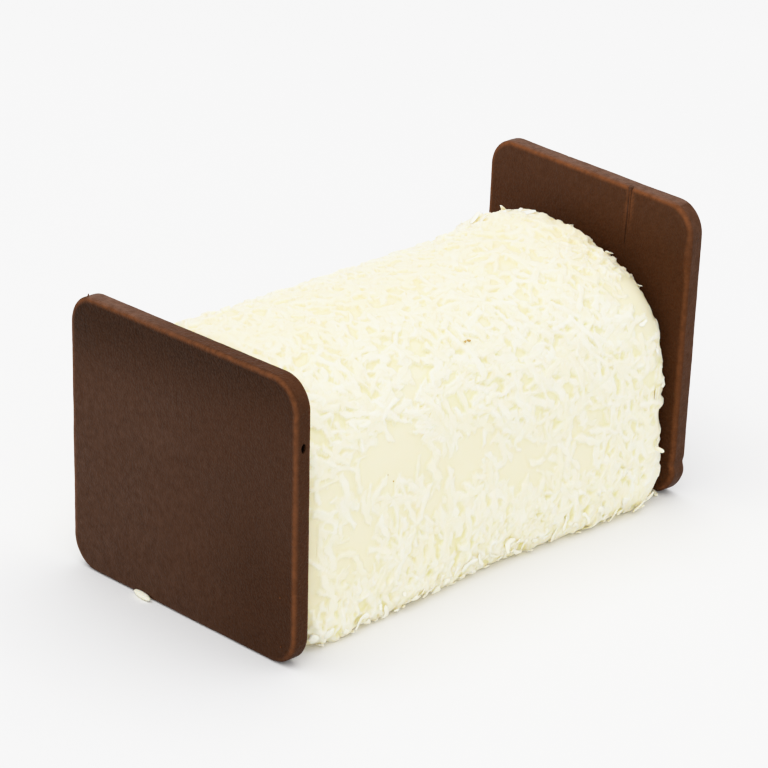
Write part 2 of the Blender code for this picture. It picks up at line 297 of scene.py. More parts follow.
def glaze_material():
    """Ivory glaze with coconut shreds set in it, both softly translucent, with painted shade yellowing the
    glaze beside the shreds, along their creases and in the pile's hollows.

    Up the side the coat's colours are drawn closer together, and on top they are yellower.
    """
    material, tree, shader = new_material("glaze_and_coconut")
    clouds, grain = add_mottle(tree, blotch_size=0.006, grain_size=0.0007)
    flecks, _ = add_mottle(tree, blotch_size=0.0014, grain_size=0.0005)
    glaze = tree.blend(clouds, DEEP_GLAZE, PALE_GLAZE)
    # Painted shade: the glaze beside the shreds is yellower, less so on the bare patches.
    gap_shade = tree.remap(tree.attribute("edge"), CREASE_WIDTH, 0.85, 0.75, 0.0)
    glaze = tree.stain(glaze, GAP_SHADE_YELLOW, gap_shade, strength=tree.spread(tree.attribute("bare"), 1.0, 0.15))
    tone = tree.maths("ADD", tree.attribute("tone"), tree.spread(flecks, -0.3, 0.3))
    white = tree.remap(tree.attribute("cover"), WHITE_BEGINS, WHITE_FULL)
    crease = tree.remap(tree.attribute("edge"), 0.0, CREASE_WIDTH, 1.0, 0.0)
    colour = tree.blend(white, glaze, tree.blend(tone, CREAM_SHRED, WHITE_SHRED))
    # Painted shade along the creases at the shreds' edges.
    colour = tree.stain(colour, CREASE_SHADE_YELLOW, crease, strength=0.12)
    # Painted shade in the hollows of the pile.
    colour = tree.blend(tree.remap(tree.attribute("hollow"), 0.05, 0.45, 0.0, 0.65), colour, HOLLOW_SHADE_YELLOW)
    side = tree.attribute("up_the_side")
    top = tree.remap(side, TOP_BEGINS, TOP_FULL)
    even = tree.maths("ADD", tree.remap(side, SIDE_BEGINS, SIDE_FULL, 0.05, 0.32), tree.times(top, 0.22))
    colour = tree.blend(even, colour, tree.blend(top, EVEN_SIDE, EVEN_TOP))
    relief = tree.maths("SUBTRACT", white, tree.times(crease, CREASE_DEPTH))
    roughness = tree.spread(grain, 0.42, 0.55)
    dress(tree, shader, colour, roughness, specular=0.30, relief=relief, depth=0.00011)
    let_light_in(tree, shader, weight=1.0, reach=0.0012)
    return material


CREAM_COCONUT = (0.940, 0.895, 0.710, 1)
WHITE_COCONUT = (0.955, 0.925, 0.790, 1)
DEEP_COCONUT = (0.930, 0.880, 0.670, 1)


def coconut_material():
    """White desiccated coconut, a little creamier from shred to shred."""
    material, tree, shader = new_material("coconut_shred")
    clouds, grain = add_mottle(tree, blotch_size=0.0016, grain_size=0.00035)
    colour = tree.blend(tree.attribute("tone"), CREAM_COCONUT, WHITE_COCONUT)
    colour = tree.stain(colour, DEEP_COCONUT, clouds, strength=0.20)
    roughness = tree.spread(grain, 0.50, 0.65)
    dress(tree, shader, colour, roughness, specular=0.3, relief=grain, depth=0.00003)
    let_light_in(tree, shader, weight=0.6, reach=0.0002)
    return material


DARK_TOAST = (0.400, 0.220, 0.050, 1)
LIGHT_TOAST = (0.580, 0.400, 0.140, 1)


def toasted_material():
    """A golden-brown crumb."""
    material, tree, shader = new_material("toasted_crumb")
    clouds, grain = add_mottle(tree, blotch_size=0.0006, grain_size=0.00015)
    colour = tree.blend(clouds, DARK_TOAST, LIGHT_TOAST)
    dress(tree, shader, colour, tree.spread(grain, 0.50, 0.65), specular=0.3)
    return material


# Meshes


def add_object(name, mesh):
    thing = bpy.data.objects.new(name, mesh)
    bpy.context.scene.collection.objects.link(thing)
    return thing


def mesh_object(name, points, faces, material=None):
    mesh = bpy.data.meshes.new(name)
    mesh.from_pydata([tuple(map(float, p)) for p in points], [], faces)
    if material:
        mesh.materials.append(material)
    mesh.shade_smooth()
    return add_object(name, mesh)


def face_outwards(thing):
    body = bmesh.new()
    body.from_mesh(thing.data)
    bmesh.ops.recalc_face_normals(body, faces=body.faces)
    body.to_mesh(thing.data)
    body.free()


def point_values(thing, name, values):
    """Keeps one number for each point, for the material to read."""
    attribute = thing.data.attributes.new(name, "FLOAT", "POINT")
    attribute.data.foreach_set("value", np.asarray(values, np.float32))


def places(mesh):
    flat = np.zeros(len(mesh.vertices) * 3, np.float32)
    mesh.vertices.foreach_get("co", flat)
    return flat.reshape(-1, 3).astype(float)


def set_places(mesh, points):
    mesh.vertices.foreach_set("co", np.asarray(points, np.float32).ravel())
    mesh.update()


def ring_faces(rings, count):
    """Quads that join closed rings of this many points, one after another."""
    faces = []
    for ring in range(rings - 1):
        for near in range(count):
            after = (near + 1) % count
            start, end = ring * count, (ring + 1) * count
            faces.append((start + near, start + after, end + after, end + near))
    return faces


def waves(points, size, seed):
    """Smooth noise between about -1 and 1 at each point, with swells of this size."""
    shift = Vector((seed * 7.3, seed * 3.1, seed * 5.7))
    return np.array([noise.noise(Vector(p) / size + shift) for p in points])


def carve(thing, cutter):
    """Takes the cutter's shape out of the thing, then removes the cutter."""
    boolean = thing.modifiers.new("cut", "BOOLEAN")
    boolean.operation = "DIFFERENCE"
    boolean.solver = "EXACT"
    boolean.object = cutter
    bpy.context.view_layer.objects.active = thing
    bpy.ops.object.modifier_apply(modifier=boolean.name)
    bpy.data.objects.remove(cutter)


def unit(vectors):
    return vectors / np.linalg.norm(vectors, axis=1)[:, None]


def with_first(value, rows):
    """The rows, with one value put in front of each."""
    return np.column_stack((np.full(len(rows), value), rows))


def running_length(points):
    """How far along the points each one is."""
    return np.concatenate(([0], np.cumsum(np.linalg.norm(np.diff(points, axis=0), axis=1))))


def placed(middle, turn, radii):
    """The matrix that makes an egg of these radii from a ball, turned and at its middle."""
    return Matrix.Translation(middle) @ turn @ Matrix.Diagonal((*radii, 1.0))


def spot_distance(x, y, middle_x, middle_y, reach_x, reach_y):
    """How far a place is from an oval spot's middle, squared, with 1 on the oval."""
    return ((x - middle_x) / reach_x) ** 2 + ((y - middle_y) / reach_y) ** 2


def between_levels(value, low, high):
    """0 below the low level, 1 above the high one, and smooth in between."""
    share = min(max((value - low) / (high - low), 0.0), 1.0)
    return share * share * (3 - 2 * share)


# End plates

OUTLINE_POINTS = 480
QUARTER_STEPS = 60
FACE_RINGS = 30
WALL_RINGS = 12

# How orange the rim is before the rounded edge, from wear and painted highlight, as (inset before it,
# amount), and round it from face to wall.
RIM_APPROACH = ((0.0005, 0.0), (0.0002, 0.40))
RIM_WEAR_AND_HIGHLIGHT = (0.80, 1.0, 1.0, 0.80, 0.55, 0.30, 0.12)
# How much the rim's orange fades on edges that face down, where no painted highlight falls.
FADES_BELOW = 0.9

# The plates are slightly uneven, as (size of the swells, their height).
UNEVENNESS = ((0.011, 0.00007), (0.0035, 0.00003), (0.0011, 0.00002))


def plate_outline(width, height):
    """Evenly spaced (y, z) points round a rounded rectangle about the origin, and their outward normals."""
    corner = PLATE_CORNER
    dense = []
    for quarter, (side, up) in enumerate(((1, 1), (-1, 1), (-1, -1), (1, -1))):
        middle = np.array((side * (width / 2 - corner), up * (height / 2 - corner)))
        for angle in np.linspace(quarter, quarter + 1, QUARTER_STEPS) * math.pi / 2:
            dense.append(middle + corner * np.array((math.cos(angle), math.sin(angle))))
    dense = np.array(dense + dense[:1])
    run = running_length(dense)
    even = np.linspace(0, run[-1], OUTLINE_POINTS, endpoint=False)
    outline = np.stack([np.interp(even, run, dense[:, axis]) for axis in (0, 1)], axis=1)
    along = unit(np.roll(outline, -1, axis=0) - np.roll(outline, 1, axis=0))
    return outline, np.stack((along[:, 1], -along[:, 0]), axis=1)


def plate_profile():
    """(share of the outline kept, inset, x, rim) of each ring, from the outer face to the inner one."""
    face = [(share, PLATE_EDGE, 0.0, 0.0) for share in np.linspace(1 / FACE_RINGS, 1, FACE_RINGS)[:-1]]
    face += [(1.0, PLATE_EDGE + before, 0.0, wear_and_highlight) for before, wear_and_highlight in RIM_APPROACH]
    turns = zip(np.linspace(0, math.pi / 2, len(RIM_WEAR_AND_HIGHLIGHT)), RIM_WEAR_AND_HIGHLIGHT)
    edge = [(1.0, PLATE_EDGE * (1 - math.sin(a)), PLATE_EDGE * (1 - math.cos(a)), wear_and_highlight) for a, wear_and_highlight in turns]
    flat = PLATE_THICK - 2 * PLATE_EDGE
    wall = [(1.0, 0.0, PLATE_EDGE + flat * step / WALL_RINGS, 0.0) for step in range(1, WALL_RINGS)]
    near_half = face + edge
    far_half = [(share, inset, PLATE_THICK - x, rim) for share, inset, x, rim in reversed(near_half)]
    return near_half + wall + far_half


def capped_faces(rings, count):
    """Quads between the rings, with the first and the last closed by fans to two more points at the end."""
    faces = ring_faces(rings, count)
    first, last, start = rings * count, rings * count + 1, (rings - 1) * count
    for near in range(count):
        after = (near + 1) % count
        faces.append((first, after, near))
        faces.append((last, start + near, start + after))
    return faces


def plate_body(name, width, height, material, seed, top_wear_and_sheen, top_rim_wear_and_light, dents=(), soft_rims=()):
    """A moulded plate between x = 0 and its thickness that stands on z = 0, slightly uneven all over.

    The top wear shows on the wall that faces up, as orange wear and painted sheen, and the top rim is that
    many times more orange, from wear and painted highlight, than others.
    The dents draw the outline in, and the soft rims widen the rounding of the face at x = 0, both given as
    (y, z, reach, amount).
    """
    outline, outward = plate_outline(width, height)
    raised = outline + np.array((0, height / 2))

    def bulge(y, z, reach, amount):
        return np.exp(-spot_distance(*raised.T, y, z, reach, reach)) * amount

    for dent in dents:
        outline = outline - outward * bulge(*dent)[:, None]
    widening = np.broadcast_to(1 + sum(bulge(*rim) for rim in soft_rims), OUTLINE_POINTS)
    upward, downward = outward[:, 1].clip(0), outward[:, 1].clip(-1, 0)
    rings, normals, rim = [], [], []
    profile = plate_profile()
    for share, inset, x, worn_and_lit in profile:
        near_half = x < PLATE_THICK / 2
        wide = widening if near_half else np.ones(OUTLINE_POINTS)
        drawn_in = min(inset, PLATE_EDGE) * wide + max(inset - PLATE_EDGE, 0.0)
        rings.append(with_first(x, (outline - outward * drawn_in[:, None]) * share))
        lean = max(0.0, 1 - inset / PLATE_EDGE) if share == 1 else 0.0
        facing = -1.0 if near_half else 1.0
        normals.append(with_first(facing * (1 - lean), outward * lean))
        # The rim's orange is wear and painted highlight: stronger on edges that face up, fading on those that
        # face down.
        worn_and_lit = worn_and_lit / wide * (1 + (top_rim_wear_and_light - 1) * upward ** 2 - FADES_BELOW * downward ** 2)
        # Walls that face up get orange wear and painted sheen.
        on_wall = share == 1 and inset < PLATE_EDGE
        rim.append(np.maximum(worn_and_lit, top_wear_and_sheen * upward if on_wall else 0.0))
    points = np.concatenate(rings)
    lift = sum(rise * waves(points, size, seed + extra) for extra, (size, rise) in enumerate(UNEVENNESS))
    points = points + unit(np.concatenate(normals)) * lift[:, None]
    points = np.concatenate((points, ((0, 0, 0), (PLATE_THICK, 0, 0)))) + np.array((0, 0, height / 2))
    plate = mesh_object(name, points, capped_faces(len(profile), OUTLINE_POINTS), material)
    face_outwards(plate)
    point_values(plate, "rim", np.concatenate(rim + [np.zeros(2)]))
    return plate


def pit_cutter(middle, radii):
    """An egg-shaped cutter."""
    bpy.ops.mesh.primitive_ico_sphere_add(subdivisions=3, radius=1.0)
    cutter = bpy.context.object
    cutter.data.transform(placed(middle, Matrix.Identity(4), radii))
    return cutter


def finish_piece(piece, slot, *nodes):
    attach(piece, BODY)
    if nodes:
        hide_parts(*nodes)


def finish_plate(plate, marks, place, node):
    """Keeps each mark's value at every point, then puts the plate in place and keeps it above the floor."""
    points = places(plate.data)
    for name, value_at in marks.items():
        point_values(plate, name, [float(value_at(*point)) for point in points])
    plate.data.transform(place)
    points = places(plate.data)
    points[:, 2] = points[:, 2].clip(0)
    set_places(plate.data, points)
    finish_piece(plate, CHOCOLATE_SLOT, node)


# How deep the face at x = 0 goes, for its colours, and how deep the top does.
FACE_DEPTH = 0.0005
TOP_DEPTH = 0.0003


# Front plate

BUBBLE = (0.0015, -PLATE_LONG / 2, 0.0386)
BUBBLE_RADII = (0.00050, 0.0011, 0.00085)
# The painted shade inside the bubble reaches this share past its radii, and starts this far in from the near
# wall.
BUBBLE_MARGIN = 1.02
BUBBLE_SKIN = 0.0002

# The scuffed patch on the outer face, as (middle y, middle z, reach along y, reach along z).
SCUFF = (0.0054, 0.0301, 0.0050, 0.0018)
SCUFF_GREY = 0.25

# How grey the walls are, how much more so the far end of the top and the far rim, where the grey is painted
# sheen, and the face at its least.
FRONT_WALL_GREY = 0.12
TOP_END_SHEEN = 2.5
FAR_RIM_SHEEN = 1.2
FACE_GREY = 0.03
# How grey the face gets below its top on the near side, how much more so on the far one, and the share
# of it that is taken off low on the near side. This grey is bloom and painted sheen.
NEAR_SIDE_GREY, FAR_SIDE_GREY = 0.33, 0.41
LOW_LESS_GREY = 0.8
# The levels between which each of these sets in.
TOP_END = (-0.0100, 0.0220)
GREY_BELOW_TOP = (0.0005, 0.0160)
FAR_SIDE = (-0.0240, 0.0200)
NEAR_SIDE = (0.0040, 0.0200)
LOW, LOW_DEPTH = 0.0300, (0.0, 0.0180)
FAR_RIM = (0.0266, 0.0278)
FACE_TOP, FACE_SLANT = 0.0500, 0.10

# How warm the walls are and the top of the face, how much more so its foot, and where that sets in.
# The face's top stays darkest as a painted dark reflection.
FRONT_WALL_WARMTH = 0.5
FACE_TOP_WARMTH, FACE_FOOT_WARMTH = 0.04, 0.34
WARM_BELOW_TOP = (0.0, 0.0130)


def front_plate_place():
    lift = PLATE_THICK * math.sin(FRONT_LEAN)
    return Matrix.Translation((-LENGTH / 2, 0, lift)) @ Euler((0, FRONT_LEAN, 0)).to_matrix().to_4x4()


def below_top(y, z):
    """How far a place on the outer face is below its top, a little more so on the near side."""
    return FACE_TOP - z - FACE_SLANT * y


def front_bloom_and_sheen(x, y, z):
    """Grey over the middle and far side of the outer face, from bloom and painted sheen, least along the top
    and low on the near side. Painted sheen greys the far end of the top and the far rim.
    """
    if z > PLATE_SHORT - TOP_DEPTH:
        return FRONT_WALL_GREY + TOP_END_SHEEN * between_levels(y, *TOP_END)
    if x > FACE_DEPTH:
        return FRONT_WALL_GREY
    lower = between_levels(below_top(y, z), *GREY_BELOW_TOP)
    far_side = NEAR_SIDE_GREY + FAR_SIDE_GREY * between_levels(y, *FAR_SIDE)
    low_near = between_levels(-y, *NEAR_SIDE) * between_levels(LOW - z, *LOW_DEPTH)
    scuff = SCUFF_GREY * math.exp(-spot_distance(y, z, *SCUFF))
    far_rim = FAR_RIM_SHEEN * between_levels(y, *FAR_RIM)
    return FACE_GREY + lower * far_side * (1 - LOW_LESS_GREY * low_near) + scuff + far_rim


def front_warmth(x, y, z):
    """Darkest along the top of the outer face, a painted dark reflection."""
    if x > FACE_DEPTH:
        return FRONT_WALL_WARMTH
    return FACE_TOP_WARMTH + FACE_FOOT_WARMTH * between_levels(below_top(y, z), *WARM_BELOW_TOP)


# Painted shade inside the carved bubble.
def bubble_shade(x, y, z):
    away = (np.array((x, y, z)) - BUBBLE) / BUBBLE_RADII
    return np.linalg.norm(away) < BUBBLE_MARGIN and y > BUBBLE_SKIN - PLATE_LONG / 2


def front_plate(material):
    plate = plate_body(
        "front_plate_chocolate", PLATE_LONG, PLATE_SHORT, material, seed=1, top_wear_and_sheen=0.25, top_rim_wear_and_light=1.1
    )
    carve(plate, pit_cutter(BUBBLE, BUBBLE_RADII))
    marks = {"pit_shade": bubble_shade, "bloom_and_sheen": front_bloom_and_sheen, "warm": front_warmth}
    finish_plate(plate, marks, front_plate_place(), "front_plate")


# Back plate

# Two scratches that run up to the top edge, as (y at the foot, lowest z, half width, depth).
GROOVES = (
    (-0.0094, 0.0446, 0.00022, 0.00100),
    (-0.0100, 0.0475, 0.00013, 0.00060),
)
GROOVE_LEAN = math.radians(-1.4)
GROOVE_DEPTH = 0.0012
# How deep a scratch is, as a share of its depth, at its foot and at its knee, and how far up the knee is.
FOOT_DEPTH, KNEE_DEPTH, KNEE = 0.1, 0.75, 0.3
# Where each scratch gets painted shade inside, and where the face beside it is worn.
SHADE_ABOVE_X, SHADE_Z = 0.00008, (0.0440, 0.0553)
LIP_REACH = 0.0008
LIP_SHIFT = 0.0003
LIP_SKIN = 0.00005
LIP_WEAR = 0.75
LIP_LEVELS = (0.0460, 0.0530)

# Where the scratches end in the top edge, a nick further along it, and their radii.
BACK_PITS = (
    ((0.0, -0.0102, PLATE_LONG), (0.00060, 0.00038, 0.00060)),
    ((PLATE_THICK, 0.0079, PLATE_LONG), (0.00060, 0.00055, 0.00050)),
)
BACK_DENTS = (
    (-0.0249, 0.0068, 0.0008, 0.00030),
    (-0.0249, 0.0048, 0.0016, -0.00014),
)
# How grey the top is, as painted sheen, the walls and the inner face at its least, how much greyer the face
# gets upwards, as painted light, and between which levels. Then how warm the walls and the faces are.
BACK_TOP_SHEEN, BACK_WALL_GREY, BACK_FACE_GREY = 2.6, 0.70, 0.06
BACK_UPPER_GREY, BACK_UPPER = 0.40, (0.0440, 0.0550)
BACK_WALL_WARMTH, BACK_FACE_WARMTH = 0.60, 0.90
BACK_SOFT_RIMS = (
    (-0.0249, 0.0462, 0.0034, 0.9),
    (-0.0249, 0.0230, 0.0210, 0.4),
)


def back_swing(half_width):
    return half_width * math.sin(abs(BACK_YAW))


BACK_INNER_X = LENGTH / 2 - PLATE_THICK - back_swing(PLATE_SHORT / 2)


def back_plate_place():
    reach = PLATE_SHORT / 2 - PLATE_CORNER
    lift = reach * math.sin(BACK_ROLL) + PLATE_CORNER * (1 - math.cos(BACK_ROLL))
    turn = Euler((BACK_ROLL, 0, BACK_YAW)).to_matrix().to_4x4()
    return Matrix.Translation((BACK_INNER_X, BACK_SHIFT_Y, lift)) @ turn


def groove_side(z, foot_y, foot_z):
    """Y of a leaning scratch at this height, from where its foot is."""
    return foot_y + (z - foot_z) * math.tan(GROOVE_LEAN)


def groove_cutter(foot_y, foot_z, half_width, depth):
    """A thin wedge that scores the face at x = 0, and fades out downwards."""
    points = []
    top = PLATE_LONG + PLATE_EDGE
    for z, deep in ((foot_z, FOOT_DEPTH), (foot_z + KNEE * (top - foot_z), KNEE_DEPTH), (top, 1.0)):
        y = groove_side(z, foot_y, foot_z)
        points += [(-depth, y - half_width * 2, z), (-depth, y + half_width * 2, z), (depth * deep, y, z)]
    cutter = mesh_object("groove_cutter", points, [(0, 1, 2), (6, 8, 7)] + ring_faces(3, 3))
    face_outwards(cutter)
    return cutter


# Painted shade deep in the bottoms of the scratches.
def groove_shade(x, y, z):
    beside = abs(y - groove_side(z, *GROOVES[0][:2])) < LIP_REACH
    return beside and SHADE_ABOVE_X < x < GROOVE_DEPTH and SHADE_Z[0] < z < SHADE_Z[1]


def on_lip(x, y, z):
    """Warm and worn on the face beside the scratches."""
    near = x < LIP_SKIN and abs(y - groove_side(z, *GROOVES[0][:2]) + LIP_SHIFT) < LIP_REACH
    return LIP_WEAR * near * between_levels(z, *LIP_LEVELS)


def back_bloom_and_sheen(x, y, z):
    """Grey towards the top of the inner face and on the walls, and most of all along the top. Along the top
    it is painted sheen, and towards the top of the face painted light.
    """
    if z > PLATE_LONG - TOP_DEPTH:
        return BACK_TOP_SHEEN
    if x > FACE_DEPTH:
        return BACK_WALL_GREY
    return BACK_FACE_GREY + BACK_UPPER_GREY * between_levels(z, *BACK_UPPER)


def back_warmth(x, y, z):
    return BACK_WALL_WARMTH if x > FACE_DEPTH else BACK_FACE_WARMTH


def back_plate(material):
    plate = plate_body(
        "back_plate_chocolate", PLATE_SHORT, PLATE_LONG, material, seed=5, top_wear_and_sheen=0.20, top_rim_wear_and_light=1.7,
        dents=BACK_DENTS, soft_rims=BACK_SOFT_RIMS,
    )
    for groove in GROOVES:
        carve(plate, groove_cutter(*groove))
    for middle, radii in BACK_PITS:
        carve(plate, pit_cutter(middle, radii))
    marks = {"pit_shade": groove_shade, "lip": on_lip, "bloom_and_sheen": back_bloom_and_sheen, "warm": back_warmth}
    finish_plate(plate, marks, back_plate_place(), "back_plate")


# Log

LOG_START = -LENGTH / 2 + PLATE_THICK + (LOG_HEIGHT - FRONT_ROUND) * math.sin(FRONT_LEAN) + GAP
LOG_END = BACK_INNER_X - back_swing(LOG_HALF_WIDTH - BACK_ROUND) - GAP
BASE_STEPS = 14
WALL_STEPS = 54
ARCH_STEPS = 108
MIDDLE_RINGS = 240
END_RINGS = 16
LUMP_SIZE = 0.0042
LUMP_HEIGHT = 0.0004
SLOPE_STEP = 1e-5


def end_inset(x):
    """How far the section has drawn in at x, where the ends are rounded."""
    for radius, depth in ((FRONT_ROUND, x - LOG_START), (BACK_ROUND, LOG_END - x)):
        if depth < radius:
            left = radius - max(depth, 0.0)
            return radius - math.sqrt(radius * radius - left * left)
    return 0.0


def section(x):
    """(y, z) points of the section at x, from the near base edge over the top to the far one."""
    inset = end_inset(x)
    half_width = LOG_HALF_WIDTH - inset
    low = BASE_LIFT * inset
    share = (x - LOG_START) / (LOG_END - LOG_START)
    radius = BASE_ROUND_FRONT + (BASE_ROUND_BACK - BASE_ROUND_FRONT) * share * share
    turn = np.linspace(0, math.pi / 2, BASE_STEPS, endpoint=False)
    out, up = radius - half_width - radius * np.sin(turn), low + radius - radius * np.cos(turn)
    base = np.column_stack((out, up))
    wall = with_first(-half_width, np.linspace(low + radius, SPRING_HEIGHT, WALL_STEPS, endpoint=False))
    rise = LOG_HEIGHT - inset - SPRING_HEIGHT
    turn = np.linspace(0, math.pi / 2, ARCH_STEPS + 1)
    power = 2 / ARCH_POWER
    out, up = -half_width * np.cos(turn).clip(0) ** power, SPRING_HEIGHT + rise * np.sin(turn) ** power
    near = np.concatenate((base, wall, np.column_stack((out, up))))
    return np.concatenate((near, near[-2::-1] * np.array((-1, 1))))


GIRTHS = running_length(section(LOG_START + FRONT_ROUND))
GIRTH = GIRTHS[-1]


def bareness(x, girth, wider=1.0):
    """1 in the middle of a bare patch, falling to 0 at its edge. The patches may be taken wider."""
    most = 0.0
    for middle_x, middle_girth, half_x, half_girth in BARE_PATCHES:
        away = math.hypot((x - middle_x) / half_x, (girth - middle_girth) / half_girth) / wider
        most = max(most, 1.0 - away * away)
    return most


def relief(x, girth):
    """How far the coating stands out from the plain log."""
    lumps = noise.noise(Vector((x, girth, 0.0)) / LUMP_SIZE) * LUMP_HEIGHT
    coated = 1.0 - min(bareness(x, girth) * 2, 1.0)
    swell = sum(height * math.exp(-0.5 * spot_distance(x, girth, *spot)) for *spot, height in SWELLS)
    fade = min(girth, GIRTH - girth, BASE_ROUND_FRONT) / BASE_ROUND_FRONT
    return fade * (swell + lumps * coated)


def log_stations():
    """X of each ring: close together where the ends turn in."""
    turn = np.linspace(0, math.pi / 2, END_RINGS, endpoint=False)
    front = LOG_START + FRONT_ROUND * (1 - np.cos(turn))
    back = LOG_END - BACK_ROUND * (1 - np.cos(turn))
    middle = np.linspace(LOG_START + FRONT_ROUND, LOG_END - BACK_ROUND, MIDDLE_RINGS)
    return np.concatenate((front, middle, back[::-1]))


def surface_grids():
    """Places and outward normals of the log's surface, for each ring and each step round the girth."""
    grid, facing = [], []
    for x in STATIONS:
        ring = section(x)
        along = unit(np.gradient(ring, axis=0))
        inside = LOG_START < x < LOG_END
        draw_in = end_inset(x + SLOPE_STEP) - end_inset(x - SLOPE_STEP)
        slope = draw_in / (2 * SLOPE_STEP) if inside else 0.0
        normals = unit(with_first(slope, np.column_stack((-along[:, 1], along[:, 0]))))
        lift = np.array([relief(x, girth) for girth in GIRTHS])
        grid.append(with_first(x, ring) + normals * lift[:, None])
        facing.append(normals)
    return np.array(grid), np.array(facing)


STATIONS = log_stations()
SURFACE, FACING = surface_grids()


def between(grid, x, girth):
    """Reads a grid over the log's surface at any places, given along X and round the girth."""
    row = np.interp(x, STATIONS, np.arange(len(STATIONS)))
    column = np.interp(girth, GIRTHS, np.arange(len(GIRTHS)))
    row_low = np.minimum(row.astype(int), len(STATIONS) - 2)
    column_low = np.minimum(column.astype(int), len(GIRTHS) - 2)
    u, v = (row - row_low)[:, None], (column - column_low)[:, None]
    low = grid[row_low, column_low] * (1 - v) + grid[row_low, column_low + 1] * v
    high = grid[row_low + 1, column_low] * (1 - v) + grid[row_low + 1, column_low + 1] * v
    return low * (1 - u) + high * u


def wrap_round_log(points, pile):
    """Takes (x, girth, height over the pile) on the unrolled surface to where that lies on the log."""
    x, girth, height = points.T
    height = height + between(pile[:, :, None], x, girth)[:, 0]
    spots = between(SURFACE, x, girth)
    spots[:, 0] += x - x.clip(LOG_START, LOG_END)
    spots[:, 1] += np.where(girth < 0, -girth, 0) - np.where(girth > GIRTH, girth - GIRTH, 0)
    return spots + unit(between(FACING, x, girth)) * height[:, None]


# Shreds set in the glaze

# How many there are, with the ranges of their lengths, widths and heights. Short tufts stand up where the
# coat is fluffiest.
SET_SEED = 4
SET_COUNT = 4400
SET_SIZES = ((0.0026, 0.0070), (0.0007, 0.0016), (0.00012, 0.00040))
TUFTS_TRIED = 5000
TUFT_SIZES = ((0.0010, 0.0026), (0.0007, 0.0012), (0.00025, 0.00070))

# How much a shred is bent, ragged and slanted, how its edge rounds off, and how it piles up on others.
BEND = 0.0007
RAGGED = 0.20
RAGGED_WAVES = (4.0, 9.0)
SLANT = 0.9
SOFT_EDGE = 0.00034
STACKING = 0.55
EDGE_LIMIT = 0.0009
BEND_MIDDLE = 0.4

# Shreds are fewer on the bare patches, and lie lower in and round them.
BARE_CHANCE = 2.2
NEAR_BARE = 1.5
NEAR_BARE_RISE = 2.5
NEAR_BARE_SINK = 0.5

# How often the pile's heights are averaged, for what lies on it and for its hollows.
PILE_SOFTENING = 3
HOLLOW_SOFTENING = 12

# The shreds stand upright at the first girth, lean over to the second, and lie any way above the third.
LEANING_GIRTHS = (0.0080, 0.0380, 0.0560)
UPRIGHT = math.radians(90)
LEANING = math.radians(155)
HEADING_SPREAD = (math.radians(55), math.radians(90))

# Where tufts and loose shreds stand out, as (middle x, middle girth, reach along x, reach round, share).
TUFT_SPOTS = (
    (0.0370, 0.0640, 0.0050, 0.0120, 0.60),
    (0.0410, 0.0500, 0.0025, 0.0600, 0.35),
    (0.0000, 0.0060, 0.1500, 0.0050, 0.80),
    (0.0000, GIRTH - 0.0060, 0.1500, 0.0050, 0.80),
    (0.0000, 0.0800, 0.0600, 0.0060, 0.60),
    (0.0350, 0.0790, 0.0090, 0.0060, 0.90),
)
FLUFFY_SPOTS = (
    (0.0410, 0.0500, 0.0022, 0.0600, 0.10),
    (0.0360, 0.0780, 0.0080, 0.0080, 0.30),
)

# Single shreds on the bare glaze, as (x, girth, heading in degrees, length, width).
LONE_SHREDS = (
    (-0.0207, 0.0203, -65, 0.0060, 0.0013),
    (-0.0178, 0.0213, 68, 0.0070, 0.0014),
    (-0.0155, 0.0262, -55, 0.0052, 0.0018),
    (-0.0328, 0.0300, -80, 0.0052, 0.0012),
    (-0.0283, 0.0268, 40, 0.0050, 0.0014),
    (-0.0270, 0.0195, -62, 0.0052, 0.0014),
    (-0.0353, 0.0174, -10, 0.0042, 0.0012),
    (-0.0325, 0.0146, -65, 0.0050, 0.0015),
    (-0.0065, 0.0197, 5, 0.0060, 0.0014),
    (-0.0020, 0.0212, -78, 0.0064, 0.0015),
    (-0.0010, 0.0160, -82, 0.0050, 0.0017),
    (0.0092, 0.0206, -10, 0.0042, 0.0013),
    (0.0165, 0.0263, 22, 0.0082, 0.0015),
    (0.0220, 0.0208, -28, 0.0072, 0.0016),
    (0.0150, 0.0172, 88, 0.0080, 0.0014),
    (0.0060, 0.0150, 80, 0.0050, 0.0016),
    (-0.0120, 0.0240, 75, 0.0040, 0.0014),
)
LONE_RISE = 0.00030


def fluffiness(spots, x, girth):
    """How thickly the coat stands up, from 0 to 1."""
    return min(sum(most * math.exp(-spot_distance(x, girth, *spot)) for *spot, most in spots), 1.0)


def shred_heading(draw, girth):
    """Mostly upright low on the walls, leaning over further up, and any way round on top."""
    up_the_side = min(girth, GIRTH - girth)
    middle = np.interp(up_the_side, LEANING_GIRTHS[:2], (UPRIGHT, LEANING))
    spread = np.interp(up_the_side, LEANING_GIRTHS[1:], HEADING_SPREAD)
    heading = middle + draw.uniform(-1, 1) * spread
    return heading if girth < GIRTH / 2 else math.pi - heading


